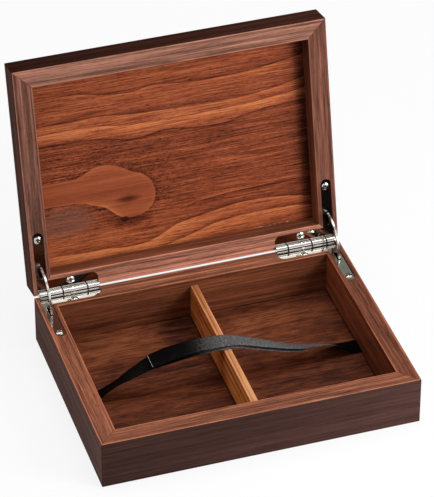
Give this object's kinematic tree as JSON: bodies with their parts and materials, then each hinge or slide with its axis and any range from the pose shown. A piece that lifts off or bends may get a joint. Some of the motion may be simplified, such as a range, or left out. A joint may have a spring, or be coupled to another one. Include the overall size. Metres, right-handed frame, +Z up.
{
  "type": "hinged wooden box",
  "caption": "Shallow walnut box with mitred walls, a divided base with a satin lift ribbon, and a lid on bright stay hinges that hold it open past upright.",
  "frame": {"origin": "middle of the base's underside", "axes": "+X to the right and +Y to the hinges as seen from the front, +Z up; the lid stands open at rest"},
  "size_m": [0.165, 0.1649, 0.1468],
  "materials": {
    "base_wood": "satin varnish, dark stained outside",
    "lid_wood": "satin varnish, dark stained outside",
    "lid_panel_wood": "satin varnish",
    "floor_wood": "satin varnish",
    "divider_wood": "satin varnish",
    "hinge_metal": "bright plated",
    "screw_metal": "bright plated",
    "ribbon_satin": "black satin weave"
  },
  "bodies": {
    "base": {"base_front_wall": "base_wood", "base_back_wall": "base_wood", "base_left_wall": "base_wood", "base_right_wall": "base_wood", "base_floor_panel": "floor_wood", "divider": "divider_wood", "ribbon_lower": "ribbon_satin", "ribbon_upper": "ribbon_satin", "left_base_leaf": "hinge_metal", "left_base_leaf_screws": "screw_metal", "left_hinge_pin": "hinge_metal", "right_base_leaf": "hinge_metal", "right_base_leaf_screws": "screw_metal", "right_hinge_pin": "hinge_metal"},
    "lid": {"lid_front_wall": "lid_wood", "lid_back_wall": "lid_wood", "lid_left_wall": "lid_wood", "lid_right_wall": "lid_wood", "lid_panel": "lid_panel_wood", "left_lid_leaf": "hinge_metal", "left_lid_leaf_screws": "screw_metal", "right_lid_leaf": "hinge_metal", "right_lid_leaf_screws": "screw_metal"},
    "left_arm": {"left_stay_arm": "hinge_metal", "left_stay_pins": "hinge_metal"},
    "right_arm": {"right_stay_arm": "hinge_metal", "right_stay_pins": "hinge_metal"}
  },
  "joints": [
    {"name": "lid_hinge", "type": "hinge", "parent": "base", "child": "lid", "pos_m": [0, 0.0618, 0.02665], "axis": [1, 0, 0], "range_deg": [0, 102.8]},
    {"name": "left_arm_slide", "type": "hinge", "parent": "base", "child": "left_arm", "pos_m": [0, 0.0618, 0.02665], "axis": [1, 0, 0], "range_deg": [0, 66.6]},
    {"name": "right_arm_slide", "type": "hinge", "parent": "base", "child": "right_arm", "pos_m": [0, 0.0618, 0.02665], "axis": [1, 0, 0], "range_deg": [0, 66.6]}
  ],
  "couplings": [
    {"joint": "left_arm_slide", "follows": "lid_hinge", "ratio": 0.64689},
    {"joint": "right_arm_slide", "follows": "lid_hinge", "ratio": 0.64689}
  ]
}
